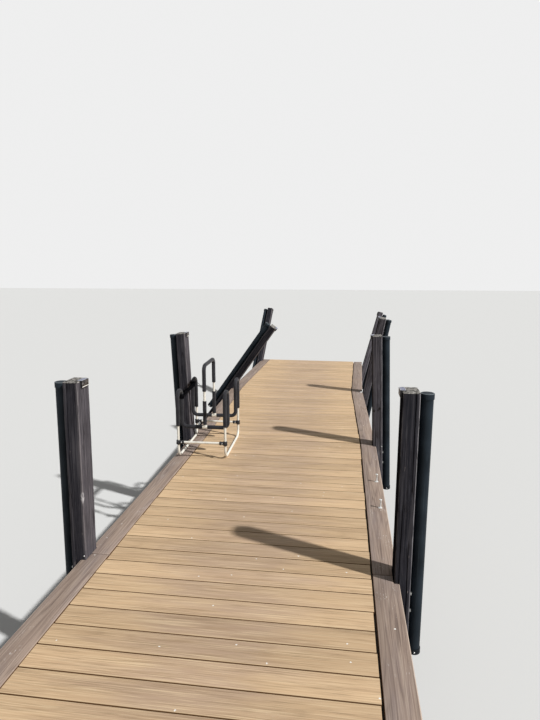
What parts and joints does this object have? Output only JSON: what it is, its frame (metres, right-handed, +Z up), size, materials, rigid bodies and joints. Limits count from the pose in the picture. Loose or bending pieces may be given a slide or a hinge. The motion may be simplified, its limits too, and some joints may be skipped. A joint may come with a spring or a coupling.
{
  "type": "composite dock",
  "caption": "Straight lake dock in bays: composite decking on timber frames and bents, side posts with pipe fenders, and a paddle board rack.",
  "frame": {"origin": "centre of the outer face of the header at the shore end, halfway up the frame", "axes": "+Y out over the water along the first bay, +X to the right, +Z up"},
  "size_m": [2.8314, 9.9062, 1.8426],
  "materials": {
    "deck_board": "tan wood composite with a brushed grain",
    "edge_board": "grey-brown wood composite, matt",
    "framing": "pressure-treated softwood, weathered",
    "post_timber": "dark weathered timber with drying cracks",
    "fender_pipe": "black polyethylene, dull",
    "light": "dark housing with a glassy panel",
    "pin_metal": "galvanised",
    "rack_tube": "white powder coat",
    "rack_clamp": "black moulding",
    "rack_foam": "charcoal closed-cell foam, matt"
  },
  "bodies": {
    "root": {"deck_1": "deck_board", "deck_2": "deck_board", "deck_3": "deck_board", "deck_4": "deck_board", "left_edge_boards": "edge_board", "right_edge_boards": "edge_board", "joists_1": "framing", "joists_2": "framing", "joists_3": "framing", "joists_4": "framing", "headers_0": "framing", "headers_1": "framing", "headers_2": "framing", "headers_3": "framing", "headers_4": "framing", "cap_0": "framing", "cap_1": "framing", "cap_2": "framing", "cap_3": "framing", "cap_4": "framing", "piles_0": "framing", "piles_1": "framing", "piles_2": "framing", "piles_3": "framing", "piles_4": "framing", "left_post_0": "post_timber", "left_post_1": "post_timber", "left_post_2": "post_timber", "left_post_3": "post_timber", "left_post_4": "post_timber", "right_post_0": "post_timber", "right_post_1": "post_timber", "right_post_2": "post_timber", "right_post_3": "post_timber", "right_post_4": "post_timber", "left_fenders": "fender_pipe", "right_fenders": "fender_pipe", "post_lights": "light", "ladder_pins": "pin_metal", "rack_side_rails": "rack_tube", "rack_cradles": "rack_tube", "rack_hoop": "rack_tube", "rack_crossbars": "rack_tube", "rack_clamps": "rack_clamp", "rack_foam": "rack_foam"}
  },
  "joints": []
}
